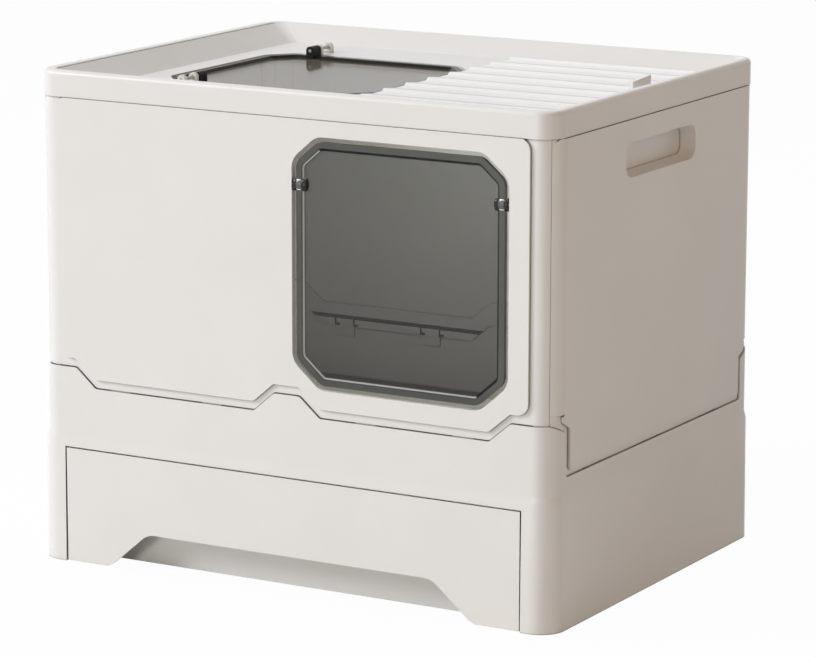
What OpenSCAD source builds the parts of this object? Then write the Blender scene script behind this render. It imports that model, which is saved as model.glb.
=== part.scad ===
// Folding cat litter box with a pull-out drawer, an entry flap and a dished lid with a top hatch.
// Origin at the middle of the footprint on the floor, +Z up, the drawer and the flap facing -Y.

/* [Overall] */
// Width over the foot of the base
box_w = 510; // [460:5:580]
// Depth over the foot of the base
box_d = 390; // [350:5:450]
// Corner radius at the foot of the base
corner_r = 22; // [18:1:27]

/* [Base] */
// Thickness of the base mouldings
base_t = 2.8; // [2.2:0.1:3.4]
// Height where the base starts to narrow
step_z = 110; // [106:1:118]
// Height over which the base narrows
step_rise = 6; // [3:1:10]
// How far the foot leans in up to the narrowing
foot_draft = 1; // [0.2:0.1:1.6]
// How far the upper band stands in from the foot
band_inset = 2.7; // [2:0.1:3.4]
// Height of the front seam between the posts
seam_low_z = 157; // [150:1:165]
// Height of the corner posts and of the middle rise
seam_high_z = 174; // [168:1:182]
// Height of the side seam
side_seam_z = 128.5; // [124:0.5:138]
// Width of a corner post across the front
post_w = 41; // [36:1:48]
// Depth of a corner post along the side
post_d = 28; // [24:1:34]
// How far the top of a corner post falls towards the side
post_fall = 8; // [3:0.5:12]
// Length over which it falls
post_slope_w = 19; // [12:1:22]
// Width of one slope of the zigzag seam
seam_slope_w = 20; // [14:1:26]
// Width of the middle rise at its top
rise_w = 25; // [18:1:40]
// Radius at the bends of the zigzag seam
seam_bend_r = 5; // [2:0.5:8]
// Width of the foot flange that the drawer runs on
flange_w = 20; // [12:1:28]
// Height of the ribs that stop the drawer
stop_h = 60; // [30:5:90]

/* [Drawer] */
// Width of the base front on each side of the drawer
jamb_w = 29.4; // [27:0.2:45]
// Height of the drawer front
drawer_h = 102; // [92:1:105]
// Thickness of the drawer mouldings
drawer_t = 2.6; // [2:0.1:3.2]
// Depth of the hand space behind the drawer front
hand_space = 28; // [24:1:40]
// Height of the litter tray
tray_h = 93; // [80:1:97]
// Depth of the litter tray
tray_d = 348; // [300:2:352]
// Lean of the tray walls over their height
tray_draft = 6; // [3:0.5:10]
// Corner radius of the tray
tray_r = 16; // [10:1:24]
// Height of the hand cut-out
cutout_h = 34; // [28:1:44]
// Width of the hand cut-out along its top
cutout_top_w = 282; // [200:2:300]
// Width of the hand cut-out at the floor
cutout_foot_w = 362; // [330:2:380]
// Radius at the bends of the hand cut-out
cutout_bend_r = 20; // [6:1:22]
// Gap round the drawer front
drawer_gap = 1.3; // [0.6:0.1:1.8]

/* [Walls] */
// Thickness of the wall sheet
sheet_t = 2.6; // [2:0.1:3.2]
// How far the raised panels stand in from the foot
panel_inset = 1.8; // [1.2:0.1:2.4]
// Step between a raised panel and its border
panel_proud = 2.6; // [2:0.1:3.2]
// Width of the border along the front and back seams
border_w = 7.5; // [5:0.5:12]
// Width of the border along the side seams
side_border_w = 4.5; // [3:0.5:8]
// Radius at the free corners of a raised panel
panel_corner_r = 10; // [4:1:14]
// Width of the plain strip at each end of the front panel
end_strip_w = 24.5; // [19:0.5:28]
// Gap at the seams between the walls and the base
seam_gap = 0.9; // [0.6:0.1:1.2]
// Gap between the lid and the walls
lid_gap = 0.3; // [0.3:0.1:0.8]
// Gap between a folding wall and the walls that stay up
fold_gap = 0.4; // [0.3:0.05:0.6]
// How far the front and back walls reach back round the corners
return_d = 3; // [1:0.5:5]
// Thickness of the lip inside the front and back seams
lip_t = 1.4; // [1:0.1:1.6]
// How far that lip reaches below the seam
lip_h = 10; // [6:0.5:12]
// Width of a tongue at the foot of the front and back walls
tongue_w = 20; // [14:1:30]
// How far a tongue reaches below the seam
tongue_h = 19; // [14:0.5:22]
// Thickness of a tongue
tongue_t = 2.4; // [2:0.1:2.6]
// Distance from the foot of the middle rise to the inner tongues
tongue_in_step = 33.5; // [20:0.5:50]
// Distance from the foot of a post slope to the outer tongues
tongue_out_step = 15; // [4:0.5:30]

/* [Hand-holds] */
// Length of a hand-hold
hold_w = 132; // [110:2:150]
// Height of a hand-hold
hold_h = 30; // [26:1:36]
// Depth of a hand-hold
hold_d = 14; // [10:1:16]
// Lean of the hand-hold walls over its depth
hold_draft = 3; // [1:0.5:4]
// Corner radius of a hand-hold
hold_r = 11; // [6:1:13]
// Distance from the lid seam down to a hand-hold
hold_drop = 19; // [14:1:40]
// Thickness round a hand-hold
hold_t = 2.2; // [1.8:0.1:2.8]

/* [Wall hinges] */
// Diameter of a wall hinge pin
wall_pin_d = 4; // [3:0.5:4.5]
// Radius of a wall hinge barrel
wall_barrel_r = 4; // [3.5:0.1:4.2]
// Distance from the inner face of a side wall to its hinge line
wall_hinge_in = 5; // [4.8:0.1:6]
// Height of the hinge line above the side seam
wall_hinge_up = 1; // [0.5:0.1:2]
// Length of a wall hinge barrel
barrel_l = 24; // [16:1:34]
// Distance between wall hinges
hinge_pitch = 110; // [80:2:130]
// Thickness of a hinge ear on the base
ear_t = 5; // [4:0.5:7]
// Running clearance round a hinge pin, on the radius
pin_play = 0.06; // [0.03:0.01:0.1]

/* [Flap and hatch panes] */
// Width of a pane
pane_w = 197; // [180:1:204]
// Length of a pane
pane_l = 206; // [190:2:230]
// Distance from the hinge line to the near end of a pane
pane_near = 37.2; // [30:0.4:46]
// Thickness of the rim of a pane
pane_t = 4.4; // [3.8:0.1:4.6]
// Thickness of the middle of a pane
pane_middle_t = 2; // [1.6:0.1:2.6]
// Width across a chamfer at the near end
chamfer_near_w = 21; // [16:1:30]
// Length along a chamfer at the near end
chamfer_near_l = 18; // [14:1:26]
// Width across a chamfer at the far end
chamfer_far_w = 24; // [18:1:34]
// Length along a chamfer at the far end
chamfer_far_l = 21; // [16:1:30]
// Radius at the bends of a pane
pane_bend_r = 12; // [6:1:16]
// Width of the rim of a pane along its top
pane_rim_w = 5; // [3:0.5:7]
// Width of the slope inside the rim
pane_slope_w = 2.5; // [1:0.5:4]
// Gap round a pane
pane_gap = 4.2; // [3:0.1:5]
// Length of a knuckle
knuckle_l = 12; // [10:0.5:14]
// How far a knuckle stands out from the pane
knuckle_out = 2.8; // [1.5:0.1:2.8]

/* [Entry flap] */
// Width of the front wall beside the flap
flap_side_w = 47.2; // [46:0.2:70]
// Height of the front wall under the flap, from the seam
sill_h = 29; // [20:1:60]
// Height of the front wall over the flap
head_h = 18; // [14:1:60]
// Diameter of a flap hinge pin
flap_pin_d = 2.4; // [2:0.1:2.8]
// Height of a flap knuckle
knuckle_h = 11; // [8:0.5:14]
// Depth of a flap pin in the wall
flap_pin_bite = 7; // [5:0.5:7]
// Width of the thick frame round the flap
frame_w = 8; // [7.5:0.5:12]

/* [Lid] */
// How far the lid stands in from the foot
lid_inset = 2.7; // [2:0.1:3.2]
// Height of the lid from its seam to its rim
lid_h = 23; // [20:1:30]
// Depth of the dish
dish_h = 16.5; // [13:0.5:17]
// Width of the flat rim, with its rounded edge
rim_w = 7.4; // [6:0.2:10]
// Width of that rim on the left
left_rim_w = 10.4; // [6:0.2:14]
// Radius along the upper edge of the lid
rim_round = 4; // [2:0.5:5]
// Width of the slope on the left of the dish
left_slope_w = 27; // [20:1:40]
// Width of the slopes on the front and back of the dish
end_slope_w = 15; // [10:1:22]
// Width of the slope on the right of the dish
right_slope_w = 2; // [1:0.5:6]
// Width of a locating tab under the lid
lid_tab_w = 40; // [24:2:60]
// Distance from the middle to a locating tab
lid_tab_x = 90; // [60:2:110]
// How far a locating tab reaches below the seam
lid_tab_h = 8; // [5:0.5:12]
// Thickness of a locating tab
lid_tab_t = 2.4; // [2:0.1:3]

/* [Top hatch] */
// Width of the dish floor on the left of the hatch opening
hatch_side_w = 22.9; // [16:0.1:30]
// Place of the middle of the hatch, front to back
hatch_y = 6.5; // [-10:0.5:14]
// Height of the hatch hinge line above the hatch
hatch_rise = 5; // [4.6:0.1:9]
// Diameter of a hatch hinge pin
hatch_pin_d = 3; // [2.4:0.1:4]
// Radius of a hatch knuckle
hatch_knuckle_r = 4; // [3.4:0.1:4.5]
// Thickness of a hatch ear on the lid
hatch_ear_t = 4; // [3:0.5:6]
// Distance between the two ears at one end of the hinge line
hatch_ear_pitch = 18; // [12:1:24]
// Width of the ledge under the far end of the hatch
ledge_w = 6; // [4:0.5:10]
// Length of that ledge
ledge_l = 110; // [60:5:130]
// Thickness of that ledge
ledge_t = 2; // [1.5:0.1:3]

/* [Litter catch plate] */
// Distance between ridges
ridge_pitch = 38.3; // [30:0.1:44]
// Width of a ridge along its top
ridge_w = 16; // [12:1:20]
// Width of a ridge flank
flank_w = 2; // [1:0.5:4]
// Height of a ridge
ridge_h = 2.2; // [1.5:0.1:4]
// Thickness of the plate
plate_t = 1.5; // [1.2:0.1:2.2]
// Gap round the plate
plate_gap = 0.6; // [0.4:0.1:1.5]
// Gap under the plate
plate_lift = 0.3; // [0.2:0.05:0.5]
// How far the plate reaches over the edge of the hatch opening
plate_overhang = 0.6; // [0:0.1:2.6]
// Length of the pull tab
pull_l = 34; // [20:1:50]
// Height of the pull tab above the rim of the lid, at its front end
pull_h = 2; // [0:0.5:5]
// How much the pull tab rises towards its back end
pull_rise = 2; // [0:0.5:4]
// Thickness of the pull tab
pull_t = 4; // [3:0.5:8]
// Distance from the pull tab to the right edge of the dish floor
pull_side_w = 8.9; // [6:0.1:30]

/* [Hidden] */

$fn = 64;
hull_fn = 32;
cut = 1;          // how far cutting shapes pass the faces that they cut
slab = 0.1;       // thickness of the slices that hulls join
dish_floor_r = 6; // radius in the corners of the dish floor
rest_gap = 0.3;   // gap under what lies on a ledge or stands beside an ear
seat_play = 0.3;  // play round the tongues and lips that seat the walls in the base
swing_gap = 0.2;  // how much lower the side walls end, to swing under the lid
press_play = 0.02; // play round a pin where it is pressed in
shell_colour = "#E8E5E0";
smoke_colour = "#62635E";
pin_colour = "#8C8C88";

// Centres of the corner arcs, which every moulding shares
centre_x = box_w / 2 - corner_r;
centre_y = box_d / 2 - corner_r;

// Radii of the faces at the corners, outside to inside
band_r = corner_r - band_inset;
panel_r = corner_r - panel_inset;
sheet_r = panel_r - panel_proud;
inner_r = sheet_r - sheet_t;
lid_r = corner_r - lid_inset;

// Heights of the walls
wall_top_z = seam_low_z + sill_h + pane_l + head_h;

// Flat faces of the walls
wall_in_x = centre_x + inner_r;
wall_in_y = centre_y + inner_r;
panel_x = centre_x + panel_r;
panel_y = centre_y + panel_r;
corner_split_y = wall_in_y - return_d;
fold_end_y = corner_split_y - fold_gap;
panel_half_w = box_w / 2 - end_strip_w;
panel_top_z = wall_top_z + 0.5;

// Half the depth of the rounded outline that brings the side walls flush with the corners of the
// front and back walls where they meet
split_run = corner_split_y - centre_y;
side_round_y = panel_y - sqrt(panel_r * panel_r - sheet_r * sheet_r + split_run * split_run) + split_run;

// Hinge line of the side walls
wall_hinge_x = wall_in_x - wall_hinge_in;
wall_hinge_z = side_seam_z + wall_hinge_up;
side_top_z = wall_top_z - swing_gap;
barrel_gap = 0.4;
wall_pin_l = barrel_l + 2 * (barrel_gap + ear_t);
ear_drop = 15;

// Middles of the tongues, from the middle of the box
tongue_in_x = rise_w / 2 + seam_slope_w + tongue_in_step + tongue_w / 2;
tongue_out_x = box_w / 2 - post_w - seam_slope_w - tongue_out_step - tongue_w / 2;

// Heights of the lid
lid_foot_z = wall_top_z + lid_gap;
rim_z = wall_top_z + lid_h;
dish_z = rim_z - dish_h;

// Inside edges of the dish at the rim and at its floor
dish_x = centre_x + lid_r - rim_w;
dish_y = centre_y + lid_r - rim_w;
dish_left_x = centre_x + lid_r - left_rim_w;
floor_left_x = -dish_left_x + left_slope_w;
floor_right_x = dish_x - right_slope_w;
floor_y = dish_y - end_slope_w;
dish_corner_r = lid_r - rim_w;

// Flap
flap_x = box_w / 2 - flap_side_w - pane_w / 2;
flap_hinge_z = wall_top_z - head_h - pane_near;
flap_hinge_y = -(wall_in_y + panel_y) / 2;
knuckle_t = panel_y - wall_in_y - rest_gap;
knuckle_end_t = 1;
flap_pin_start = 1.5;
knuckle_end = pane_w / 2 + knuckle_out;

// Hatch
hatch_x = floor_left_x + hatch_side_w + pane_gap + pane_near;
hatch_hinge_z = dish_z + hatch_rise;
hatch_far_x = hatch_x + pane_l - pane_near;
hatch_ear_start = pane_w / 2 + pane_gap + rest_gap;
hatch_pin_end = hatch_ear_start + hatch_ear_pitch + hatch_ear_t;

// Plate
plate_left_x = hatch_far_x + pane_gap - plate_overhang;
plate_right_x = floor_right_x - plate_gap;
plate_d = 2 * (floor_y - plate_gap);
ridge_count = floor((plate_d - ridge_w - 2 * flank_w) / ridge_pitch) + 1;

// Drawer
tray_inset = 2.5;
tray_rim_w = 1.5;
stop_gap = 0.6;
runner_gap = 3;
drawer_w = box_w - 2 * (jamb_w + drawer_gap);
flange_t = base_t - 0.5;
tray_foot_z = flange_t + rest_gap;
fascia_foot_z = 0.8;
fascia_y = -box_d / 2 + foot_draft;
tray_front_y = fascia_y + hand_space;
tray_back_y = tray_front_y + tray_d;
tray_w = drawer_w - 2 * tray_inset;
tray_top_z = tray_foot_z + tray_h;
opening_w = drawer_w + 2 * drawer_gap;
opening_h = drawer_h + drawer_gap;
guide_x = opening_w / 2;

function unit(v) = v / norm(v);

// Replaces each corner of a closed outline by an arc. The radius is one number, or one for each corner.
function round_corners(points, radius, steps = 6) = [
    for (i = [0:len(points) - 1])
        let (
            r = is_list(radius) ? radius[i] : radius,
            corner = points[i],
            back = unit(points[(i + len(points) - 1) % len(points)] - corner),
            ahead = unit(points[(i + 1) % len(points)] - corner),
            half = acos(back * ahead) / 2,
            centre = corner + unit(back + ahead) * r / sin(half),
            start = corner + back * r / tan(half) - centre,
            end = corner + ahead * r / tan(half) - centre,
            turn = sign(cross(start, end)) * (180 - 2 * half)
        )
        for (k = [0:steps])
            let (t = k / steps * turn)
            centre + [start[0] * cos(t) - start[1] * sin(t), start[0] * sin(t) + start[1] * cos(t)]
];

// Zigzag seam from left to right, with its ends at a given distance from the middle
function seam_line(edge, up) = [
    [-edge, seam_high_z + up],
    [-(box_w / 2 - post_w), seam_high_z + up],
    [-(box_w / 2 - post_w - seam_slope_w), seam_low_z + up],
    [-(rise_w / 2 + seam_slope_w), seam_low_z + up],
    [-rise_w / 2, seam_high_z + up],
    [rise_w / 2, seam_high_z + up],
    [rise_w / 2 + seam_slope_w, seam_low_z + up],
    [box_w / 2 - post_w - seam_slope_w, seam_low_z + up],
    [box_w / 2 - post_w, seam_high_z + up],
    [edge, seam_high_z + up]
];

// Outline of everything above the zigzag seam, with its own radius at the four outer corners
module above_seam(edge, up, top, corner = seam_bend_r) {
    bends = [for (i = [1:8]) seam_bend_r];
    polygon(round_corners(concat(seam_line(edge, up), [[edge, top], [-edge, top]]),
        concat([corner], bends, [corner, corner, corner])));
}

// Outline of a side wall above its seam: narrow between the posts, full depth over them.
// It stands up from the top of the posts by one distance and in from the rest of the seam by another.
module side_outline(edge, up, inward, top, corner = 3) {
    waist = box_d / 2 - post_d - inward;
    shoulder = box_d / 2 - post_d + post_slope_w;
    slope_shift = inward * (norm([post_slope_w, post_fall]) - post_fall) / post_slope_w;
    shoulder_z = seam_high_z + up;
    waist_z = seam_high_z - post_fall + slope_shift;
    polygon(round_corners([
        [-waist, side_seam_z + inward],
        [waist, side_seam_z + inward],
        [waist, waist_z],
        [shoulder, shoulder_z],
        [edge, shoulder_z],
        [edge, top],
        [-edge, top],
        [-edge, shoulder_z],
        [-shoulder, shoulder_z],
        [-waist, waist_z]
    ], [3, 3, 4, 4, 1, corner, corner, 1, 4, 4]));
}

// Rounded rectangle between two corners
module plan(x0, x1, y0, y1, r) {
    translate([x0 + r, y0]) square([x1 - x0 - 2 * r, y1 - y0]);
    translate([x0, y0 + r]) square([x1 - x0, y1 - y0 - 2 * r]);
    for (x = [x0 + r, x1 - r], y = [y0 + r, y1 - r])
        translate([x, y]) circle(r);
}

// Extrudes an outline drawn in X and Z along Y
module along_y(y0, y1) {
    translate([0, y1, 0]) rotate([90, 0, 0]) linear_extrude(y1 - y0) children();
}

// Extrudes an outline drawn in Y and Z along X
module along_x(x0, x1) {
    translate([x0, 0, 0]) rotate([90, 0, 90]) linear_extrude(x1 - x0) children();
}

// Sweeps a profile round the box. Its x is measured outward from the corner centres, its y is the height.
module ring() {
    for (q = [0:3]) {
        sx = (q == 0 || q == 3) ? 1 : -1;
        sy = (q < 2) ? 1 : -1;
        translate([sx * centre_x, sy * centre_y, 0]) rotate([0, 0, 90 * q])
            rotate_extrude(angle = 90) children();
        away = (q % 2 == 0) ? centre_x : centre_y;
        run = (q % 2 == 0) ? 2 * centre_y : 2 * centre_x;
        rotate([0, 0, 90 * q]) translate([away, run / 2, 0]) rotate([90, 0, 0])
            linear_extrude(run) children();
    }
}

module ring_band(r0, r1, z0, z1) {
    ring() translate([r0, z0]) square([r1 - r0, z1 - z0]);
}

module base_profile() {
    polygon([
        [corner_r, 0],
        [corner_r - foot_draft, step_z],
        [band_r, step_z + step_rise],
        [band_r, seam_high_z],
        [band_r - base_t, seam_high_z],
        [band_r - base_t, step_z + step_rise],
        [corner_r - foot_draft - base_t, step_z],
        [corner_r - base_t, 0]
    ]);
}

// Guide wall, shelf and foot flange on the right, which carry the drawer
module drawer_guide() {
    run_y = box_d / 2 - base_t / 2 - foot_draft;
    side_x = centre_x + corner_r - foot_draft - base_t / 2;
    translate([guide_x, -run_y, 0]) cube([base_t, 2 * run_y, opening_h]);
    translate([guide_x, -centre_y, opening_h - base_t]) cube([side_x - guide_x, 2 * centre_y, base_t]);
    translate([guide_x - flange_w, -run_y, 0]) cube([flange_w + cut, 2 * run_y, flange_t]);
}

// Ears for one wall hinge on the right
module base_ears() {
    root_x = centre_x + band_r - base_t / 2;
    for (s = [-1, 1])
        translate([0, s * (barrel_l / 2 + barrel_gap + ear_t / 2) + ear_t / 2, 0]) rotate([90, 0, 0])
            linear_extrude(ear_t) {
                translate([wall_hinge_x, wall_hinge_z]) circle(wall_barrel_r);
                translate([wall_hinge_x - wall_barrel_r, wall_hinge_z - ear_drop])
                    square([wall_barrel_r * 2, ear_drop]);
                translate([wall_hinge_x, wall_hinge_z - ear_drop])
                    square([root_x - wall_hinge_x, side_seam_z - seam_gap - (wall_hinge_z - ear_drop)]);
            }
}

module wall_hinges() {
    for (y = [-hinge_pitch, 0, hinge_pitch])
        translate([0, y, 0]) children();
}

module both_sides() {
    children();
    mirror([1, 0, 0]) children();
}

// Rod or bore along a wall hinge line on the right
module hinge_rod(d, l) {
    translate([wall_hinge_x, l / 2, wall_hinge_z]) rotate([90, 0, 0]) cylinder(d = d, h = l);
}

module tongue_recess(x) {
    translate([x - tongue_w / 2 - seat_play, wall_in_y - cut, seam_low_z - tongue_h - seat_play])
        cube([tongue_w + 2 * seat_play, tongue_t + seat_play + cut, seam_high_z]);
}

module base_housing() {
    color(shell_colour)
    difference() {
        union() {
            ring() base_profile();
            both_sides() drawer_guide();
            both_sides() wall_hinges() base_ears();
            for (x = [-1, 1])
                translate([x * drawer_w / 3 - base_t / 2, tray_back_y + stop_gap, 0])
                    cube([base_t, box_d / 2 - base_t / 2 - foot_draft - tray_back_y - stop_gap, stop_h]);
        }
        along_y(-box_d, box_d) above_seam(box_w, 0, wall_top_z);
        along_x(-box_w, box_w) side_outline(box_d, 0, 0, 2 * wall_top_z);
        translate([-guide_x, -box_d / 2 - cut, flange_t])
            cube([opening_w, post_d, opening_h - flange_t]);
        translate([-guide_x, -box_d / 2 - cut, -cut])
            cube([opening_w, hand_space + foot_draft + cut, opening_h]);
        both_sides() wall_hinges() hinge_rod(wall_pin_d + 2 * press_play, wall_pin_l + 2 * cut);
        for (m = [0, 1])
            mirror([0, m, 0]) {
                for (x = [-tongue_out_x, -tongue_in_x, tongue_in_x, tongue_out_x])
                    tongue_recess(x);
                along_y(-wall_in_y - lip_t - seat_play, -wall_in_y + cut)
                    above_seam(centre_x + seat_play, -lip_h - seat_play, wall_top_z);
            }
    }
}

module tray_block(side, foot_z, top_z) {
    w = tray_w / 2 - side;
    hull() {
        translate([0, 0, top_z - slab]) linear_extrude(slab)
            plan(-w, w, tray_front_y + side, tray_back_y - side, tray_r - side, $fn = hull_fn);
        translate([0, 0, foot_z]) linear_extrude(slab)
            plan(-w + tray_draft, w - tray_draft, tray_front_y + side + tray_draft / 2,
                tray_back_y - side - tray_draft, tray_r - side, $fn = hull_fn);
    }
}

module cutout_outline() {
    reach = 2 * cutout_bend_r;
    polygon(round_corners([
        [-cutout_foot_w / 2 - reach, -reach],
        [-cutout_foot_w / 2 - reach, 0],
        [-cutout_foot_w / 2, 0],
        [-cutout_top_w / 2, cutout_h],
        [cutout_top_w / 2, cutout_h],
        [cutout_foot_w / 2, 0],
        [cutout_foot_w / 2 + reach, 0],
        [cutout_foot_w / 2 + reach, -reach]
    ], cutout_bend_r));
}

module drawer() {
    inner_w = 2 * (guide_x - flange_w - runner_gap);
    color(shell_colour)
    difference() {
        union() {
            tray_block(0, tray_foot_z, tray_top_z);
            // rim of the tray
            translate([0, 0, tray_top_z - drawer_t]) linear_extrude(drawer_t)
                plan(-tray_w / 2 - tray_rim_w, tray_w / 2 + tray_rim_w, tray_front_y, tray_back_y,
                    tray_r);
            // drawer front, its side returns and its top
            translate([-drawer_w / 2, fascia_y, fascia_foot_z])
                cube([drawer_w, drawer_t, drawer_h - fascia_foot_z]);
            for (x = [-drawer_w / 2, drawer_w / 2 - drawer_t])
                translate([x, fascia_y, fascia_foot_z])
                    cube([drawer_t, hand_space, drawer_h - fascia_foot_z]);
            translate([-drawer_w / 2, fascia_y, drawer_h - drawer_t])
                cube([drawer_w, hand_space + drawer_t, drawer_t]);
            translate([-tray_w / 2 + tray_r, tray_front_y, tray_foot_z])
                cube([tray_w - 2 * tray_r, drawer_t, drawer_h - tray_foot_z]);
            translate([-inner_w / 2, tray_front_y, fascia_foot_z])
                cube([inner_w, drawer_t, tray_foot_z]);
            translate([-drawer_w / 2, fascia_y + hand_space - drawer_t, tray_top_z - drawer_t])
                cube([drawer_w, drawer_t * 2, drawer_h - tray_top_z + drawer_t]);
        }
        tray_block(drawer_t, tray_foot_z + drawer_t, drawer_h * 2);
        along_y(fascia_y - cut, fascia_y + drawer_t + cut) cutout_outline();
    }
}

// How much one leg of a chamfer grows when its outline is moved out by 1
function leg_step(leg, other) = 1 - (norm([leg, other]) - leg) / other;

module pane_outline(grow) {
    w = pane_w / 2 + grow;
    near = pane_near + grow;
    far = pane_near - pane_l - grow;
    near_w = chamfer_near_w + grow * leg_step(chamfer_near_w, chamfer_near_l);
    near_l = chamfer_near_l + grow * leg_step(chamfer_near_l, chamfer_near_w);
    far_w = chamfer_far_w + grow * leg_step(chamfer_far_w, chamfer_far_l);
    far_l = chamfer_far_l + grow * leg_step(chamfer_far_l, chamfer_far_w);
    polygon(round_corners([
        [-w, near - near_l],
        [-w + near_w, near],
        [w - near_w, near],
        [w, near - near_l],
        [w, far + far_l],
        [w - far_w, far],
        [-w + far_w, far],
        [-w, far + far_l]
    ], pane_bend_r + grow));
}

// A pane lying flat, its hinge line along X through the origin and the top of its rim at z = 0
module pane() {
    difference() {
        translate([0, 0, -pane_t]) linear_extrude(pane_t) pane_outline(0);
        hull() {
            linear_extrude(slab) pane_outline(-pane_rim_w);
            translate([0, 0, pane_middle_t - pane_t]) linear_extrude(slab)
                pane_outline(-pane_rim_w - pane_slope_w);
        }
    }
}

// Strip that reaches from the border of a front or back wall to below its seam
module seam_lip(top) {
    difference() {
        above_seam(centre_x, -lip_h, top);
        above_seam(box_w, seam_gap + border_w / 2, 2 * top);
    }
}

// A front or back wall, drawn at the front
module end_wall(opening) {
    top = wall_top_z;
    difference() {
        union() {
            intersection() {
                ring_band(inner_r, panel_r, seam_low_z, top);
                translate([-box_w / 2, -box_d / 2, 0]) cube([box_w, box_d / 2 - corner_split_y, top + cut]);
                along_y(-box_d, 0) above_seam(box_w, seam_gap, 2 * top);
            }
            for (x = [-tongue_out_x, -tongue_in_x, tongue_in_x, tongue_out_x])
                translate([x - tongue_w / 2, -wall_in_y - tongue_t, seam_low_z - tongue_h])
                    cube([tongue_w, tongue_t, tongue_h + border_w]);
            along_y(-wall_in_y - lip_t, -wall_in_y) seam_lip(top);
        }
        // border round the raised panel
        difference() {
            ring_band(sheet_r, corner_r + cut, 0, top + cut);
            along_y(-box_d, 0)
                above_seam(panel_half_w, seam_gap + border_w, panel_top_z, panel_corner_r);
        }
        // hollow behind the raised panel
        along_y(-wall_in_y - sheet_t, -wall_in_y + cut)
            difference() {
                above_seam(panel_half_w - sheet_t, seam_gap + border_w + sheet_t, top - sheet_t);
                if (opening)
                    translate([flap_x, flap_hinge_z]) pane_outline(pane_gap + frame_w);
            }
        if (opening) {
            along_y(-box_d, 0) translate([flap_x, flap_hinge_z]) pane_outline(pane_gap);
            for (s = [-1, 1])
                flap_rod(s, flap_pin_d + 2 * press_play, pane_w / 2 - cut,
                    pane_w / 2 + pane_gap + flap_pin_bite);
        }
    }
}

module front_wall() {
    color(shell_colour) end_wall(true);
}

module back_wall() {
    color(shell_colour) mirror([0, 1, 0]) end_wall(false);
}

// Block with the shape of a hand-hold, narrower towards the inside
module hold_block(grow, depth) {
    hull() {
        along_x(panel_x - slab, panel_x) hold_outline(grow);
        along_x(panel_x - depth, panel_x - depth + slab) hold_outline(grow - hold_draft);
    }
}

module hold_outline(grow) {
    z1 = wall_top_z - hold_drop + grow;
    z0 = wall_top_z - hold_drop - hold_h - grow;
    plan(-hold_w / 2 - grow, hold_w / 2 + grow, z0, z1, hold_r + grow, $fn = hull_fn);
}

// A folding wall, drawn on the right
module side_wall() {
    panel_up = seam_gap + border_w;
    panel_in = seam_gap + side_border_w;
    difference() {
        union() {
            intersection() {
                ring_band(inner_r, panel_r, side_seam_z, side_top_z);
                along_x(0, box_w)
                    intersection() {
                        side_outline(box_d, seam_gap, seam_gap, 2 * wall_top_z);
                        translate([-fold_end_y, 0]) square([2 * fold_end_y, wall_top_z]);
                    }
                linear_extrude(wall_top_z) plan(-panel_x, panel_x, -side_round_y, side_round_y, panel_r);
            }
            intersection() {
                hold_block(hold_t, hold_d + hold_t);
                along_x(0, panel_x - sheet_t / 2) square([box_d, 2 * wall_top_z], center = true);
            }
            wall_hinges() side_barrel();
        }
        difference() {
            ring_band(sheet_r, corner_r + cut, 0, wall_top_z);
            along_x(0, box_w) side_outline(corner_split_y, panel_up, panel_in, panel_top_z, panel_corner_r);
        }
        along_x(wall_in_x - cut, wall_in_x + sheet_t)
            difference() {
                side_outline(centre_y, panel_up + sheet_t, panel_in + sheet_t, side_top_z - sheet_t);
                hold_outline(hold_t);
            }
        hold_block(0, hold_d);
        wall_hinges() hinge_rod(wall_pin_d + 2 * pin_play, barrel_l + 2 * cut);
    }
}

// Barrel and web of one wall hinge
module side_barrel() {
    translate([0, barrel_l / 2, 0]) rotate([90, 0, 0]) linear_extrude(barrel_l) {
        translate([wall_hinge_x, wall_hinge_z]) circle(wall_barrel_r);
        translate([wall_hinge_x, wall_hinge_z])
            square([wall_hinge_in + sheet_t / 2, wall_barrel_r]);
    }
}

module right_wall() {
    color(shell_colour) side_wall();
}

module left_wall() {
    color(shell_colour) mirror([1, 0, 0]) side_wall();
}

module right_wall_pins() {
    color(pin_colour) wall_hinges() hinge_rod(wall_pin_d, wall_pin_l);
}

module left_wall_pins() {
    color(pin_colour) mirror([1, 0, 0]) wall_hinges() hinge_rod(wall_pin_d, wall_pin_l);
}

// Rod or bore on the flap hinge line, between two distances from the middle of the flap
module flap_rod(side, d, from, to) {
    start = side > 0 ? from : -to;
    translate([flap_x + start, flap_hinge_y, flap_hinge_z]) rotate([0, 90, 0])
        cylinder(d = d, h = to - from);
}

module front_flap() {
    color(smoke_colour)
    difference() {
        union() {
            translate([flap_x, flap_hinge_y - pane_t / 2, flap_hinge_z]) rotate([90, 0, 0]) pane();
            for (s = [-1, 1])
                translate([flap_x + s * (knuckle_end - knuckle_l / 2) - knuckle_l / 2,
                    flap_hinge_y, flap_hinge_z])
                    rotate([90, 0, 90]) linear_extrude(knuckle_l)
                        plan(-knuckle_t / 2, knuckle_t / 2, -knuckle_h / 2, knuckle_h / 2, knuckle_t / 2 - 0.2);
        }
        for (s = [-1, 1])
            flap_rod(s, flap_pin_d + 2 * pin_play, knuckle_end - knuckle_l + knuckle_end_t, knuckle_end + cut);
    }
}

module flap_pin(side) {
    color(pin_colour)
        flap_rod(side, flap_pin_d, knuckle_end - knuckle_l + flap_pin_start,
            pane_w / 2 + pane_gap + flap_pin_bite);
}

module flap_pin_left() {
    flap_pin(-1);
}

module flap_pin_right() {
    flap_pin(1);
}

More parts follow.
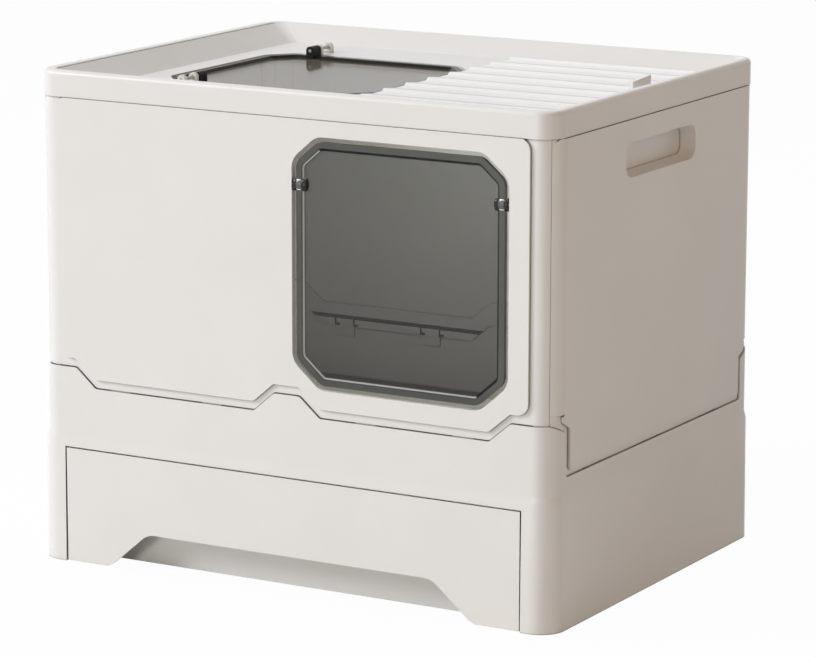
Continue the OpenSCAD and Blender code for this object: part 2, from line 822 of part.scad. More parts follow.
// Skirt and rim, with a rounded upper edge
module lid_profile() {
    rim_in_r = lid_r - max(rim_w, left_rim_w) - cut;
    polygon(concat(
        [[lid_r - sheet_t, lid_foot_z], [lid_r, lid_foot_z]],
        [for (t = [0:15:90])
            [lid_r - rim_round + rim_round * cos(t), rim_z - rim_round + rim_round * sin(t)]],
        [[rim_in_r, rim_z], [rim_in_r, rim_z - sheet_t],
            [lid_r - sheet_t - 1, rim_z - sheet_t], [lid_r - sheet_t, rim_z - sheet_t - 1]]
    ));
}

// Space inside the dish, or the same grown by a thickness
module dish_block(grow, foot_z, head_z) {
    hull() {
        translate([0, 0, head_z]) linear_extrude(slab)
            plan(-dish_left_x - grow, dish_x + grow, -dish_y - grow, dish_y + grow, dish_corner_r,
                $fn = hull_fn);
        translate([0, 0, foot_z]) linear_extrude(slab)
            plan(floor_left_x - grow, floor_right_x + grow, -floor_y - grow, floor_y + grow,
                dish_floor_r, $fn = hull_fn);
    }
}

module hatch_outline(grow) {
    translate([hatch_x, hatch_y]) rotate(90) pane_outline(grow);
}

// Rod or bore on the hatch hinge line, between two distances from the middle of the hatch
module hatch_rod(side, d, from, to) {
    end = side > 0 ? to : -from;
    translate([hatch_x, hatch_y + end, hatch_hinge_z]) rotate([90, 0, 0])
        cylinder(d = d, h = to - from);
}

module hatch_ear(side, start) {
    end = side > 0 ? start + hatch_ear_t : -start;
    translate([hatch_x, hatch_y + end, 0]) rotate([90, 0, 0]) linear_extrude(hatch_ear_t) {
        translate([0, hatch_hinge_z]) circle(hatch_knuckle_r);
        translate([-hatch_knuckle_r, dish_z - sheet_t]) square([2 * hatch_knuckle_r, hatch_rise + sheet_t]);
    }
}

// Ledge that carries the far end of the hatch
module hatch_ledge() {
    foot_z = dish_z - pane_t - rest_gap - ledge_t;
    translate([hatch_far_x - ledge_w, hatch_y - ledge_l / 2, foot_z])
        cube([2 * ledge_w + pane_gap, ledge_l, dish_z - sheet_t / 2 - foot_z]);
}

module lid() {
    color(shell_colour)
    difference() {
        union() {
            difference() {
                union() {
                    ring() lid_profile();
                    dish_block(sheet_t, dish_z - sheet_t, rim_z - sheet_t / 2);
                }
                dish_block(0, dish_z, rim_z);
            }
            for (x = [-lid_tab_x, lid_tab_x], s = [-1, 1])
                translate([x - lid_tab_w / 2, s * (wall_in_y - fold_gap - lid_tab_t / 2) - lid_tab_t / 2,
                    wall_top_z - lid_tab_h])
                    cube([lid_tab_w, lid_tab_t, rim_z - wall_top_z + lid_tab_h - 1]);
            for (s = [-1, 1], start = [hatch_ear_start, hatch_ear_start + hatch_ear_pitch])
                hatch_ear(s, start);
            hatch_ledge();
        }
        translate([0, 0, dish_z - pane_t - rest_gap]) linear_extrude(pane_t + rest_gap + cut)
            hatch_outline(pane_gap);
        for (s = [-1, 1])
            hatch_rod(s, hatch_pin_d + 2 * press_play, pane_w / 2, hatch_pin_end + cut);
    }
}

module top_hatch() {
    color(smoke_colour)
    difference() {
        union() {
            translate([hatch_x, hatch_y, dish_z]) rotate(90) pane();
            for (s = [-1, 1])
                translate([hatch_x, hatch_y + (s > 0 ? knuckle_end : knuckle_l - knuckle_end), 0])
                    rotate([90, 0, 0]) linear_extrude(knuckle_l) {
                        translate([0, hatch_hinge_z]) circle(hatch_knuckle_r);
                        translate([-hatch_knuckle_r, dish_z - pane_t])
                            square([2 * hatch_knuckle_r, hatch_rise + pane_t]);
                    }
        }
        for (s = [-1, 1])
            hatch_rod(s, hatch_pin_d + 2 * pin_play, knuckle_end - knuckle_l - cut, knuckle_end + cut);
    }
}

module hatch_pin(side) {
    color(pin_colour)
        hatch_rod(side, hatch_pin_d, knuckle_end - knuckle_l, hatch_pin_end);
}

module hatch_pin_front() {
    hatch_pin(-1);
}

module hatch_pin_back() {
    hatch_pin(1);
}

// Upper line of the ridges, front to back
function ridge_line(z) = concat(
    [[-plate_d / 2, z]],
    [for (i = [0:ridge_count - 1])
        let (y = (i - (ridge_count - 1) / 2) * ridge_pitch - ridge_w / 2)
        for (p = [[-flank_w, 0], [0, ridge_h], [ridge_w, ridge_h], [ridge_w + flank_w, 0]])
            [y + p[0], z + p[1]]],
    [[plate_d / 2, z]]
);

// Upright tab that rises a little towards the back
module pull_tab(foot_z) {
    top_z = rim_z + pull_h;
    translate([floor_right_x - pull_side_w - pull_t, 0, 0])
        along_x(0, pull_t) polygon([
            [-pull_l / 2, foot_z],
            [pull_l / 2, foot_z],
            [pull_l / 2, top_z + pull_rise],
            [-pull_l / 2, top_z]
        ]);
}

module litter_catch_plate() {
    foot = dish_z + plate_lift;
    upper = ridge_line(foot + plate_t);
    lower = ridge_line(foot);
    color(shell_colour) {
        intersection() {
            along_x(plate_left_x, plate_right_x)
                polygon(concat(upper, [for (i = [len(lower) - 1:-1:0]) lower[i]]));
            translate([0, 0, dish_z]) linear_extrude(dish_h)
                plan(plate_left_x, plate_right_x, -plate_d / 2, plate_d / 2, dish_floor_r);
        }
        pull_tab(foot + plate_t / 2);
    }
}

base_housing();
drawer();
front_wall();
back_wall();
left_wall();
right_wall();
left_wall_pins();
right_wall_pins();
front_flap();
flap_pin_left();
flap_pin_right();
lid();
litter_catch_plate();
top_hatch();
hatch_pin_front();
hatch_pin_back();
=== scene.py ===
import math

import bmesh
import bpy
from mathutils import Matrix, Vector


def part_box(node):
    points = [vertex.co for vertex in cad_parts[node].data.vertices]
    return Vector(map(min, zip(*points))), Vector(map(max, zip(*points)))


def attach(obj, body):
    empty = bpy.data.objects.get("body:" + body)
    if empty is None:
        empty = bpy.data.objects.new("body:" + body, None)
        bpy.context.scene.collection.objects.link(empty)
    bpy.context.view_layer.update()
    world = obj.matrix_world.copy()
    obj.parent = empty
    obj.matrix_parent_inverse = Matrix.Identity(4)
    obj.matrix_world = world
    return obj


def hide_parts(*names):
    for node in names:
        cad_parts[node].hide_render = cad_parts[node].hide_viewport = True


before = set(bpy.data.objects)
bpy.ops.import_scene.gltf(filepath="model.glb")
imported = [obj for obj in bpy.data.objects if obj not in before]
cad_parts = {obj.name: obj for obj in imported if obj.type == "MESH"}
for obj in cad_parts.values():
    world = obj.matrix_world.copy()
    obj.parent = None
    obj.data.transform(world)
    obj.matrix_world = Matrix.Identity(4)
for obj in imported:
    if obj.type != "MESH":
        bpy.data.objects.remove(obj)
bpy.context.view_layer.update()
print("frame loaded:", len(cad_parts), "nodes")

mm = 0.001  # lengths below are written in millimetres


class Wire:
    # one output socket that takes part in plain sums
    def __init__(self, graph, socket):
        self.graph, self.socket = graph, socket

    def sum(self, operation, first, second=None):
        values = {0: first} if second is None else {0: first, 1: second}
        return self.graph.add("Math", {"operation": operation}, values)

    def __add__(self, other): return self.sum("ADD", self, other)
    def __radd__(self, other): return self.sum("ADD", other, self)
    def __sub__(self, other): return self.sum("SUBTRACT", self, other)
    def __rsub__(self, other): return self.sum("SUBTRACT", other, self)
    def __mul__(self, other): return self.sum("MULTIPLY", self, other)
    def __rmul__(self, other): return self.sum("MULTIPLY", other, self)
    def __abs__(self): return self.sum("ABSOLUTE", self)


class Graph:
    def __init__(self, name, world=None):
        self.owner = world or bpy.data.materials.new(name)
        self.owner.use_nodes = True
        self.tree = self.owner.node_tree
        self.tree.nodes.clear()

    # settings are the node's attributes; values are numbers, colours or wires for its sockets
    def add(self, kind, settings=None, values=None, out=0):
        made = self.tree.nodes.new("ShaderNode" + kind)
        for key, value in (settings or {}).items():
            setattr(made, key, value)
        for key, value in (values or {}).items():
            if isinstance(value, Wire):
                self.tree.links.new(value.socket, made.inputs[key])
            else:
                made.inputs[key].default_value = value
        return Wire(self, made.outputs[out])

    def mix(self, factor, first, second):
        return self.add("Mix", {"data_type": "RGBA"}, {0: factor, 6: first, 7: second}, out=2)

    def noise(self, place, scale, detail=2.0, roughness=0.5):
        return self.add("TexNoise", None, {"Vector": place, "Scale": scale, "Detail": detail,
                                           "Roughness": roughness})

    def objectPlace(self):
        return self.add("TexCoord", out=3)

    def bump(self, height, distance):
        return self.add("Bump", None, {"Height": height, "Distance": distance})

    # 1 up to the start of the span and 0 from its end, with a soft change between
    def fade(self, value, span):
        return self.add("MapRange", {"interpolation_type": "SMOOTHSTEP"}, {
            "Value": value, "From Min": span[0], "From Max": span[1], "To Min": 1.0, "To Max": 0.0})

    def surface(self, shader):
        kind = "OutputWorld" if isinstance(self.owner, bpy.types.World) else "OutputMaterial"
        output = self.tree.nodes.new("ShaderNode" + kind)
        self.tree.links.new(shader.socket, output.inputs["Surface"])
        return self.owner


def rgb(red, green, blue):
    # a colour as it shows on screen, 0 to 255, turned linear
    def linear(part):
        part /= 255
        return part / 12.92 if part <= 0.04045 else ((part + 0.055) / 1.055) ** 2.4
    return linear(red), linear(green), linear(blue), 1


shellFinish = {
    "colour": rgb(232, 228, 223),
    "shade": rgb(226, 222, 216),
    # the crevice colour is painted shade for narrow gaps and the feet of steps
    "creviceShade": rgb(66, 59, 52),
    "creviceReach": 2.6 * mm,
    "creviceOpen": (0.35, 0.86),  # how open a spot is where the crevice colour is full and where it ends
    "creviceSamples": 12,
    "roughness": 0.34,
    "gloss": 0.5,
    "refraction": 1.49,
    "cloudScale": 14,
    "cloudRoughness": 0.08,
    "grainScale": 2600,
    "grainDepth": 0.012 * mm,
    "grainRoughness": 0.05,
    "waveScale": 9,
    "waveDepth": 0.35 * mm,
}
plateFinish = {**shellFinish, "colour": rgb(245, 243, 240), "shade": rgb(241, 238, 234), "roughness": 0.5,
               "gloss": 0.25}
# the slopes behind the crests: a darker colour that is painted shade, and less gloss
shadedSlopeFinish = {**plateFinish, "colour": rgb(228, 225, 221), "shade": rgb(223, 219, 215), "gloss": 0.1}


def mouldedPlastic(name, finish):
    graph = Graph(name)
    place = graph.objectPlace()
    cloud = graph.noise(place, finish["cloudScale"], detail=3)
    grain = graph.noise(place, finish["grainScale"], roughness=0.6)
    wave = graph.noise(place, finish["waveScale"], detail=1)
    colour = graph.mix(cloud, finish["colour"], finish["shade"])
    # painted shade: narrow gaps and the feet of steps are darkened towards the crevice colour by an
    # occlusion mask
    openness = graph.add("AmbientOcclusion", {"samples": finish["creviceSamples"]},
                         {"Distance": finish["creviceReach"]}, out=1)
    closed, clear = finish["creviceOpen"]
    lit = graph.add("MapRange", None, {"Value": openness, "From Min": closed, "From Max": clear})
    colour = graph.mix(lit, finish["creviceShade"], colour)
    rough = (finish["roughness"] + (cloud - 0.5) * finish["cloudRoughness"]
             + (grain - 0.5) * finish["grainRoughness"])
    relief = graph.bump(wave, finish["waveDepth"])
    skin = graph.add("Bump", None, {"Height": grain, "Distance": finish["grainDepth"], "Normal": relief})
    return graph.surface(graph.add("BsdfPrincipled", None, {
        "Base Color": colour, "Roughness": rough, "Normal": skin, "IOR": finish["refraction"],
        "Specular IOR Level": finish["gloss"]}))


# how the parts of a pane differ: the sheet, the raised rim and the slopes inside the rim
smokeFinish = {
    # the sheet's foot colour is painted shade towards its lower edge, and its band colour a painted shadow
    # along that edge
    "sheet": {"colour": rgb(92, 94, 90), "shade": rgb(84, 86, 82), "foot": rgb(34, 33, 31),
              "band": rgb(38, 28, 25), "bandAlpha": 0.92, "alpha": 0.5, "gloss": 0.5},
    "warmSheet": {"colour": rgb(112, 102, 88), "shade": rgb(104, 94, 81), "alpha": 0.55, "gloss": 0.4},
    "rim": {"colour": rgb(90, 91, 87), "shade": rgb(82, 83, 79), "alpha": 0.85, "gloss": 0.2},
    "deepRim": {"colour": rgb(44, 44, 41), "shade": rgb(38, 38, 35), "alpha": 0.95, "gloss": 0.05},
    # slopes that face the light are painted lighter, with a painted highlight line, and the other slopes
    # are painted darker as shade
    "brightSlope": {"colour": rgb(66, 67, 64), "shade": rgb(50, 51, 48), "alpha": 0.85, "gloss": 0.5,
                    "paintedHighlight": rgb(196, 196, 192)},
    "darkSlope": {"colour": rgb(30, 30, 28), "shade": rgb(24, 24, 22), "alpha": 0.95, "gloss": 0.08},
    "barrel": {"colour": rgb(48, 47, 45), "shade": rgb(40, 39, 37), "alpha": 0.95, "gloss": 0.25},
}
smoke = {"cloudScale": 11, "roughness": 0.07, "cloudRoughness": 0.03, "refraction": 1.5}
# the slopes of the flap lie between y = -192.8 and -190.4 mm, its sheet between z = 190 and 390 mm
highlightLine = {"depth": -191.5 * mm, "fade": (0.15 * mm, 0.85 * mm)}
# where the painted shade on the flap's sheet runs, and where its painted shadow band lies
sheetShadeSpan = {"foot": 190 * mm, "top": 390 * mm, "band": (194.5 * mm, 198 * mm)}


def smokyPlastic(name, finish):
    graph = Graph(name)
    place = graph.objectPlace()
    cloud = graph.noise(place, smoke["cloudScale"])
    colour = graph.mix(cloud, finish["colour"], finish["shade"])
    alpha = finish["alpha"]
    if "paintedHighlight" in finish:
        # painted highlight: the slope is lighter in a thin line along its upper half
        depth = graph.add("SeparateXYZ", None, {0: place}, out=1) - highlightLine["depth"]
        colour = graph.mix(graph.fade(abs(depth), highlightLine["fade"]), colour, finish["paintedHighlight"])
    if "foot" in finish:
        # painted shade: the sheet of the flap is darker towards its foot, with a painted shadow band along
        # its foot
        height = graph.add("SeparateXYZ", None, {0: place}, out=2)
        low = graph.add("MapRange", None, {"Value": height, "From Min": sheetShadeSpan["foot"],
                                           "From Max": sheetShadeSpan["top"], "To Min": 1.0, "To Max": 0.0})
        colour = graph.mix(low, colour, finish["foot"])
        band = graph.fade(height, sheetShadeSpan["band"])
        colour = graph.mix(band, colour, finish["band"])
        alpha = alpha + band * (finish["bandAlpha"] - finish["alpha"])
    return graph.surface(graph.add("BsdfPrincipled", None, {
        "Base Color": colour, "Roughness": smoke["roughness"] + (cloud - 0.5) * smoke["cloudRoughness"],
        "Alpha": alpha, "IOR": smoke["refraction"], "Specular IOR Level": finish["gloss"]}))


# small parts: "roughness" is the least value and what the grain adds to it
pinFinish = {"colour": rgb(184, 182, 177), "shade": rgb(168, 166, 161), "grainScale": 1800,
             "roughness": (0.3, 0.15), "grainDepth": 0.01 * mm}
wireFinish = {"colour": rgb(176, 176, 178), "shade": rgb(150, 150, 152), "grainScale": 900,
              "roughness": (0.25, 0.15)}
gapFinish = {"colour": rgb(14, 13, 12), "shade": rgb(9, 8, 8), "grainScale": 60, "roughness": (0.9, 0.1)}
# the sleeve's glint colour is a painted highlight on its rounded sides
sleeveFinish = {"colour": rgb(96, 97, 93), "shade": rgb(86, 87, 83), "paintedGlint": rgb(250, 250, 248),
                "grainScale": 300, "roughness": (0.12, 0.05), "refraction": 1.5,
                "middle": 354.8 * mm, "glintFrom": 3.2 * mm, "glintTo": 4.2 * mm}


def grainedPart(name, finish, more):
    # a small part with a grain in its colour and roughness; more(graph, grain, colour) gives the rest
    graph = Graph(name)
    grain = graph.noise(graph.objectPlace(), finish["grainScale"])
    colour = graph.mix(grain, finish["colour"], finish["shade"])
    least, added = finish["roughness"]
    return graph.surface(graph.add("BsdfPrincipled", None, {
        "Base Color": colour, "Roughness": least + grain * added, **more(graph, grain, colour)}))


def pinPlastic(name, finish):
    return grainedPart(name, finish, lambda graph, grain, colour: {
        "Normal": graph.bump(grain, finish["grainDepth"])})


def pinSteel(name, finish):
    return grainedPart(name, finish, lambda graph, grain, colour: {"Metallic": 1.0})


def gapShade(name, finish):
    # the unlit inside of a gap
    return grainedPart(name, finish, lambda graph, grain, colour: {"Specular IOR Level": 0.0})


def sleevePlastic(name, finish):
    # a knuckle sleeve with a painted highlight towards its two rounded sides
    def glinting(graph, grain, colour):
        height = graph.add("SeparateXYZ", None, {0: graph.objectPlace()}, out=2) - finish["middle"]
        edge = graph.add("MapRange", {"interpolation_type": "SMOOTHSTEP"}, {
            "Value": abs(height), "From Min": finish["glintFrom"], "From Max": finish["glintTo"]})
        return {"Base Color": graph.mix(edge, colour, finish["paintedGlint"]), "IOR": finish["refraction"]}
    return grainedPart(name, finish, glinting)


shellMaterial = mouldedPlastic("warmWhitePlastic", shellFinish)
plateMaterial = mouldedPlastic("plateTop", plateFinish)
shadedSlopeMaterial = mouldedPlastic("ridgeSlopeShade", shadedSlopeFinish)
smokeMaterials = {part: smokyPlastic("smoky" + part[0].upper() + part[1:], finish)
                  for part, finish in smokeFinish.items()}
pinMaterial = pinPlastic("greyPinPlastic", pinFinish)
steelMaterial = pinSteel("pinWire", wireFinish)
gapMaterial = gapShade("gapInside", gapFinish)
sleeveMaterial = sleevePlastic("knuckleSleeve", sleeveFinish)
print("finishes made")


def newObject(name, data):
    made = bpy.data.objects.new(name, data)
    bpy.context.scene.collection.objects.link(made)
    return made


def meshFrom(build, name, materials):
    # ends a build and gives its mesh, with the materials in the order that its faces count them
    mesh = bpy.data.meshes.new(name)
    build.to_mesh(mesh)
    build.free()
    for material in materials:
        mesh.materials.append(material)
    return mesh


mouldings = {
    "base_housing": {"piece": "baseShell", "body": "housing", "edge": 0.7},
    "drawer": {"piece": "drawerShell", "body": "drawer", "edge": 0.7},
    "front_wall": {"piece": "frontPanel", "body": "housing", "edge": 0.6},
    "back_wall": {"piece": "backPanel", "body": "housing", "edge": 0.6},
    "left_wall": {"piece": "leftPanel", "body": "left_wall", "edge": 0.6},
    "right_wall": {"piece": "rightPanel", "body": "right_wall", "edge": 0.6},
    "lid": {"piece": "lidShell", "body": "lid", "edge": 0.7},
    "litter_catch_plate": {"piece": "ridgedPlate", "body": "catch_plate", "edge": 0.5},
}


# how the copies are cleaned and rounded
rounding = {
    "sharpFrom": math.radians(24),  # edges that turn more than this are rounded
    "flatWithin": math.radians(0.3),  # neighbouring faces this close in angle become one
    "joinWithin": 0.002 * mm,
    "steps": 2,
}


def roundEdges(piece, edge):
    bevel = piece.modifiers.new("roundedEdges", "BEVEL")
    bevel.width = edge * mm
    bevel.segments = rounding["steps"]
    bevel.limit_method = "ANGLE"
    bevel.angle_limit = rounding["sharpFrom"]
    bevel.use_clamp_overlap = True
    bevel.miter_outer = "MITER_ARC"
    flats = piece.modifiers.new("flatFaces", "WEIGHTED_NORMAL")
    flats.weight = 100


def softened(node, piece, edge):
    # a closed copy of a CAD moulding whose sharp edges are rounded
    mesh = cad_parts[node].data.copy()
    build = bmesh.new()
    build.from_mesh(mesh)
    bmesh.ops.remove_doubles(build, verts=build.verts, dist=rounding["joinWithin"])
    bmesh.ops.dissolve_limit(build, angle_limit=rounding["flatWithin"], verts=build.verts,
                             edges=build.edges, delimit=set())
    for face in build.faces:
        face.smooth = True
    build.to_mesh(mesh)
    build.free()
    mesh.materials.clear()
    made = newObject(piece, mesh)
    roundEdges(made, edge)
    return made


# the foot of the back wall stands a little clear of the base: a line along the seam and a hook
# at each side of a tongue show on the inside
gaps = {
    "low": 154.2 * mm, "high": 158 * mm, "halfLength": 236 * mm, "depth": 1.1 * mm,
    "hookWidth": 1.8 * mm, "hookFoot": 147.6 * mm, "toeHeight": 2.4 * mm, "toeLength": 4.6 * mm,
    "overlap": 1 * mm,  # how far the cutter stands out in front, and a hook up into the line
    "footBand": 0.1 * mm,  # height above the lowest point within which a tongue's end is found
}


def boxInto(build, low, high):
    # adds a box between two corners to a build and gives its eight points, x slowest and z fastest
    corners = [build.verts.new((x, y, z)) for x in (low[0], high[0]) for y in (low[1], high[1])
               for z in (low[2], high[2])]
    for quad in ((0, 1, 3, 2), (4, 6, 7, 5), (0, 4, 5, 1), (2, 3, 7, 6), (0, 2, 6, 4), (1, 5, 7, 3)):
        build.faces.new([corners[i] for i in quad])
    return corners


def gapCutter(node):
    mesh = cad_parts[node].data
    foot = min(v.co.z for v in mesh.vertices)
    ends = [v.co for v in mesh.vertices if v.co.z < foot + gaps["footBand"]]
    tongueSides = sorted({round(co.x, 4) for co in ends})
    inner = min(co.y for co in ends)
    front, back = inner - gaps["overlap"], inner + gaps["depth"]
    build = bmesh.new()
    boxInto(build, (-gaps["halfLength"], front, gaps["low"]), (gaps["halfLength"], back, gaps["high"]))
    half = gaps["hookWidth"] / 2
    for x in tongueSides:
        boxInto(build, (x - half, front, gaps["hookFoot"]), (x + half, back, gaps["low"] + gaps["overlap"]))
        boxInto(build, (x - half, front, gaps["hookFoot"]),
                (x + gaps["toeLength"], back, gaps["hookFoot"] + gaps["toeHeight"]))
    bmesh.ops.recalc_face_normals(build, faces=build.faces)
    return newObject("gapCutter", meshFrom(build, "gapCutter", [gapMaterial]))


def carve(piece, cutter):
    # cuts the gaps, keeps the cut faces dark and their edges sharp
    cut = piece.modifiers.new("gaps", "BOOLEAN")
    cut.operation, cut.solver, cut.object = "DIFFERENCE", "EXACT", cutter
    cut.use_self, cut.material_mode = True, "TRANSFER"
    piece.modifiers.move(len(piece.modifiers) - 1, 0)
    for modifier in piece.modifiers:
        modifier.show_viewport = modifier == cut
    bpy.context.view_layer.update()
    solid = bpy.data.meshes.new_from_object(piece.evaluated_get(bpy.context.evaluated_depsgraph_get()))
    piece.modifiers.remove(cut)
    build = bmesh.new()
    build.from_mesh(solid)
    weight = build.edges.layers.float.new("bevel_weight_edge")
    for edge in build.edges:
        plain = all(face.material_index == 0 for face in edge.link_faces)
        edge[weight] = float(plain and edge.is_manifold
                             and edge.calc_face_angle() > rounding["sharpFrom"])
    build.to_mesh(solid)
    build.free()
    piece.data = solid
    for modifier in piece.modifiers:
        modifier.show_viewport = True
    piece.modifiers["roundedEdges"].limit_method = "WEIGHT"
    bpy.data.objects.remove(cutter)


# the ridged plate, all in mm: every ridge has a short flank at its front and a long gentle slope behind
ridgedForm = {
    "count": 9, "pitch": 38.3, "rise": 2.2, "thickness": 1.5, "radius": 6, "arcSteps": 6,
    # near foot, both edges of the crest and far foot, from the middle of the ridge's pitch
    "edges": (6.3, 9.3, 10, 29),
    "lastEdges": (4, 6.5, 8.5, 10),  # the last ridge ends at the edge of the plate
    "tabFoot": 0.75,  # how far up in the sheet the pull tab begins
    "tabFrom": 0.2,  # points this far above the crests belong to the tab
    "slopeTilt": 0.03, "slopeRise": 0.9,  # a slope behind a crest leans back more than this, and looks up
}


def plateRows(depth):
    # front to back: the place, the rise of the sheet and how far its ends are drawn in
    radius, steps, up = ridgedForm["radius"], ridgedForm["arcSteps"], ridgedForm["rise"]
    turns = [math.pi / 2 * i / steps for i in range(steps + 1)]
    arc = [(depth - radius * (1 - math.cos(t)), 0, radius * (1 - math.sin(t))) for t in turns]
    rows = [(-y, rise, inset) for y, rise, inset in arc]
    for i in range(ridgedForm["count"]):
        middle = (i - (ridgedForm["count"] - 1) / 2) * ridgedForm["pitch"]
        edges = ridgedForm["lastEdges" if i == ridgedForm["count"] - 1 else "edges"]
        rows += [(middle + y, rise, 0) for y, rise in zip(edges, (0, up, up, 0))]
    return rows + arc[::-1]


def ridgedPlate(node, piece, edge):
    low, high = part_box(node)
    build = bmesh.new()
    rings = []
    for y, rise, inset in plateRows(high[1] / mm):
        left, right = low[0] + inset * mm, high[0] - inset * mm
        foot = low[2] + rise * mm
        top = foot + ridgedForm["thickness"] * mm
        rings.append([build.verts.new((x, y * mm, z)) for x, z in
                      ((left, foot), (right, foot), (right, top), (left, top))])
    for ring, following in zip(rings, rings[1:]):
        for i in range(4):
            k = (i + 1) % 4
            build.faces.new((ring[i], ring[k], following[k], following[i]))
    build.faces.new(rings[0])
    build.faces.new(rings[-1])
    # the pull tab, with its top rising a little towards the back
    crest = low[2] + (ridgedForm["rise"] + ridgedForm["thickness"]) * mm
    tab = [v.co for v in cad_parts[node].data.vertices
           if v.co.z > crest + ridgedForm["tabFrom"] * mm]
    (left, right), (front, back) = [(min(co[i] for co in tab), max(co[i] for co in tab)) for i in range(2)]
    corners = boxInto(build, (left, front, low[2] + ridgedForm["tabFoot"] * mm), (right, back, high[2]))
    for corner in corners:
        if corner.co.z > crest and corner.co.y < 0:
            corner.co.z = max(co.z for co in tab if co.y < 0)
    bmesh.ops.recalc_face_normals(build, faces=build.faces)
    for face in build.faces:
        face.smooth = True
        # the slopes behind the crests are painted darker as shade, and are less glossy
        face.material_index = int(face.normal.y > ridgedForm["slopeTilt"]
                                  and face.normal.z > ridgedForm["slopeRise"])
    made = newObject(piece, meshFrom(build, piece, [plateMaterial, shadedSlopeMaterial]))
    roundEdges(made, edge)
    return made


for node, setup in mouldings.items():
    if node == "litter_catch_plate":
        shell = ridgedPlate(node, setup["piece"], setup["edge"])
    else:
        shell = softened(node, setup["piece"], setup["edge"])
        shell.data.materials.append(shellMaterial)
    if node == "back_wall":
        carve(shell, gapCutter(node))
    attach(shell, setup["body"])
    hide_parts(node)
print("mouldings made")

panes = {
    # "out" is the side that the recess faces, "lit" the way that the bright slopes face
    "front_flap": {"piece": "flapPane", "body": "flap", "edge": 0.5, "out": Vector((0, -1, 0)),
                   "lit": Vector((0.85, 0, 0.5)), "sheet": "sheet",
                   "rim": "rim", "bright": "brightSlope", "dark": "darkSlope"},
    "top_hatch": {"piece": "hatchPane", "body": "hatch", "edge": 0.5, "out": Vector((0, 0, 1)),
                  "lit": Vector((0, -1, 0)), "sheet": "warmSheet",
                  "rim": "deepRim", "bright": "deepRim", "dark": "deepRim"},
}


# a face is flat or sloped by how far it looks to the "out" side, and a slope is painted lit or painted
# shaded by how far it looks the "lit" way; the sheet is the one large flat face
paneFaces = {"flat": 0.99, "sloped": 0.3, "bright": 0.05, "sheetArea": 20000 * mm * mm}


def paintPane(pane, setup):
    # gives the sheet, the rim and the slopes of a pane their own finish
    parts = list(smokeMaterials)
    for part in parts:
        pane.data.materials.append(smokeMaterials[part])
    for face in pane.data.polygons:
        facing = face.normal.dot(setup["out"])
        if facing > paneFaces["flat"]:
            part = "sheet" if face.area > paneFaces["sheetArea"] else "rim"
        elif facing < -paneFaces["flat"]:
            part = "sheet"
        elif facing > paneFaces["sloped"]:
            part = "bright" if face.normal.dot(setup["lit"]) > paneFaces["bright"] else "dark"
        else:
            part = "rim"
        face.material_index = parts.index(setup[part])


for node, setup in panes.items():
    pane = softened(node, setup["piece"], setup["edge"])
    paintPane(pane, setup)
    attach(pane, setup["body"])
    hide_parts(node)

# each knuckle of the flap: two dark barrels with a sleeve between them
knuckle = {
    "out": 0.1 * mm,  # from the outer end of the pane's own block
    "flat": 0.6,  # thickness over height
    "sides": 32,
    # along the hinge line and across it, from the outer end inwards
    "profile": [(0, 4.4), (0.3, 5), (0.9, 5.4), (2.3, 5.5), (2.8, 5.3), (3.1, 5), (3.1, 5.4), (3.6, 5.8),
                (5.6, 5.95), (7.2, 5.8), (7.7, 5.4), (7.7, 5), (8.2, 5.4), (9, 5.65), (10.6, 5.6),
                (11.8, 5.2), (12.5, 4.4), (12.8, 3)],
    "sleeve": (3.05, 7.75),
}


def flapKnuckle(name, start, inward, middle):
    build = bmesh.new()
    rings = []
    for along, across in knuckle["profile"]:
        turns = [2 * math.pi * i / knuckle["sides"] for i in range(knuckle["sides"])]
        rings.append([build.verts.new((start + inward * along * mm,
                                       middle[0] + across * knuckle["flat"] * math.cos(t) * mm,
                                       middle[1] + across * math.sin(t) * mm)) for t in turns])
    for i, (ring, following) in enumerate(zip(rings, rings[1:])):
        along = knuckle["profile"][i][0]
        for j in range(knuckle["sides"]):
            k = (j + 1) % knuckle["sides"]
            face = build.faces.new((ring[j], ring[k], following[k], following[j]))
            face.material_index = int(knuckle["sleeve"][0] < along < knuckle["sleeve"][1])
    build.faces.new(rings[0])
    build.faces.new(rings[-1])
    bmesh.ops.recalc_face_normals(build, faces=build.faces)
    for face in build.faces:
        face.smooth = len(face.verts) == 4
    made = newObject(name, meshFrom(build, name, [smokeMaterials["barrel"], sleeveMaterial]))
    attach(made, "flap")


flapLow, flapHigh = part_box("front_flap")
pinLow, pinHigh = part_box("flap_pin_left")
hingeLine = ((pinLow[1] + pinHigh[1]) / 2, (pinLow[2] + pinHigh[2]) / 2)
flapKnuckle("flapKnuckleLeft", flapLow[0] + knuckle["out"], 1, hingeLine)
flapKnuckle("flapKnuckleRight", flapHigh[0] - knuckle["out"], -1, hingeLine)

pins = {pinMaterial: ("flap_pin_left", "flap_pin_right", "hatch_pin_front", "hatch_pin_back"),
        steelMaterial: ("left_wall_pins", "right_wall_pins")}
for material, nodes in pins.items():
    for node in nodes:
        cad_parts[node].data.materials.clear()
        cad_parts[node].data.materials.append(material)
print("panes and pins made")


stage = {
    "floorSize": 40,
    "floorDrop": 0.3 * mm,
    "floorColour": (0.86, 0.85, 0.84, 1),
    "shadowShare": 0.03,  # how much of the floor's own shading shows on the white
    "white": (1, 1, 1, 1),
    "skyColour": (1, 0.9, 0.8, 1),
    "skyStrength": 0.1,
}


def seenRays(graph):
    # 1 for rays that see the backdrop straight, in a reflection or through something clear
    camera, glossy, through = [graph.add("LightPath", out="Is " + kind + " Ray")
                               for kind in ("Camera", "Glossy", "Transmission")]
    return camera + glossy + through


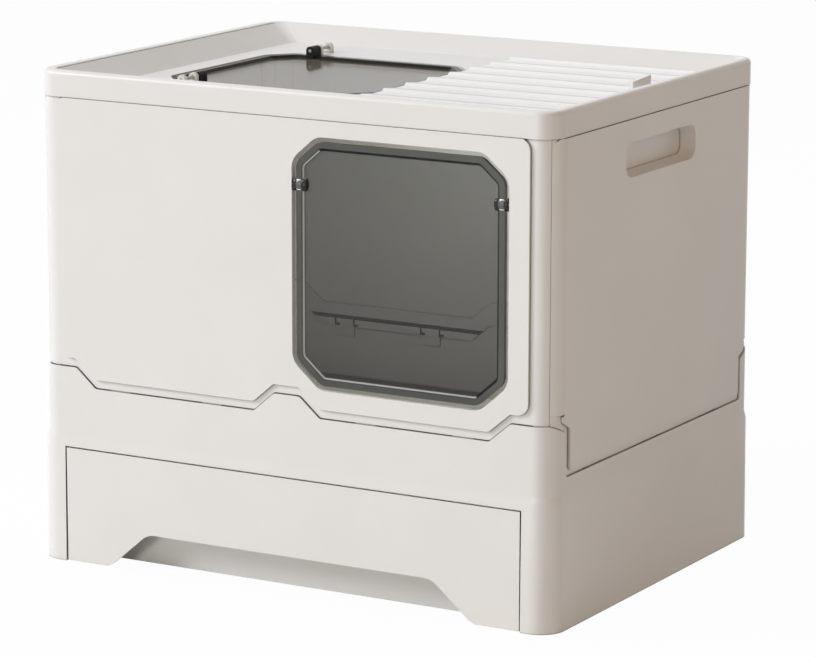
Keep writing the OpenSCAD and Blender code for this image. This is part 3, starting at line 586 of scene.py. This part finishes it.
def makeFloor():
    bpy.ops.mesh.primitive_plane_add(size=stage["floorSize"], location=(0, 0, -stage["floorDrop"]))
    floor = bpy.context.object
    floor.name = "floor"
    graph = Graph("paleFloor")
    matte = graph.add("BsdfDiffuse", None, {"Color": stage["floorColour"]})
    white = graph.add("Emission", None, {"Color": stage["white"], "Strength": 1.0})
    share = (1 - stage["shadowShare"]) * seenRays(graph)
    floor.data.materials.append(graph.surface(graph.add("MixShader", None, {0: share, 1: matte, 2: white})))


def makeSky():
    world = bpy.data.worlds.new("studio")
    bpy.context.scene.world = world
    graph = Graph("studio", world)
    dim = graph.add("Background", None, {"Color": stage["skyColour"], "Strength": stage["skyStrength"]})
    white = graph.add("Background", None, {"Color": stage["white"], "Strength": 1.0})
    graph.surface(graph.add("MixShader", None, {0: seenRays(graph), 1: dim, 2: white}))


lamps = {
    "key": {"place": (-6.3, -4.7, 4.6), "aim": (0, 0, 0.2), "size": 3.7, "power": 640,
            "colour": (0.9, 0.93, 1), "glossy": True},
    "front": {"place": (-0.6, -4.6, 0.5), "aim": (0, 0, 0.2), "size": 1.0, "power": 37,
              "colour": (0.95, 1, 0.97), "glossy": True},
    "top": {"place": (-0.4, 1.2, 3.4), "aim": (0, 0, 0.3), "size": 2.4, "power": 50,
            "colour": (0.78, 0.9, 1)},
    "side": {"place": (3.2, -1.2, 3.0), "aim": (0, 0, 0.2), "size": 2.4, "power": 33,
             "colour": (1, 0.7, 0.48)},
    # light that comes through the walls from all round, gathered in one soft lamp inside the box
    "inside": {"place": (0, -0.02, 0.385), "aim": (0, 0.06, 0.1), "size": 0.1, "power": 0.34,
               "colour": (0.97, 1, 0.98)},
}


def makeLamps():
    for name, lamp in lamps.items():
        data = bpy.data.lights.new(name, "AREA")
        data.shape, data.size, data.energy = "SQUARE", lamp["size"], lamp["power"]
        data.color = lamp["colour"]
        made = newObject(name, data)
        made.location = lamp["place"]
        towards = Vector(lamp["aim"]) - Vector(lamp["place"])
        made.rotation_euler = towards.to_track_quat("-Z", "Y").to_euler()
        made.visible_camera = False
        made.visible_glossy = lamp.get("glossy", False)


makeFloor()
makeSky()
makeLamps()
print("stage made")

view = {
    "place": (1.672, -2.906, 0.897),
    "turn": 29.8,  # degrees round the box from straight in front
    "tilt": 11.8,  # degrees down
    "roll": 0.1,
    "lens": 171.3,
    "sensor": 36,
    "clip": (0.1, 60),
}


def makeCamera():
    data = bpy.data.cameras.new("camera")
    data.lens, data.sensor_width = view["lens"], view["sensor"]
    data.clip_start, data.clip_end = view["clip"]
    camera = newObject("camera", data)
    turned = Matrix.Rotation(math.radians(view["turn"]), 4, "Z")
    tilted = Matrix.Rotation(math.radians(90 - view["tilt"]), 4, "X")
    rolled = Matrix.Rotation(math.radians(view["roll"]), 4, "Z")
    camera.matrix_world = Matrix.Translation(view["place"]) @ turned @ tilted @ rolled
    bpy.context.scene.camera = camera


makeCamera()
bpy.context.scene.view_settings.view_transform = "Standard"
print("camera made")
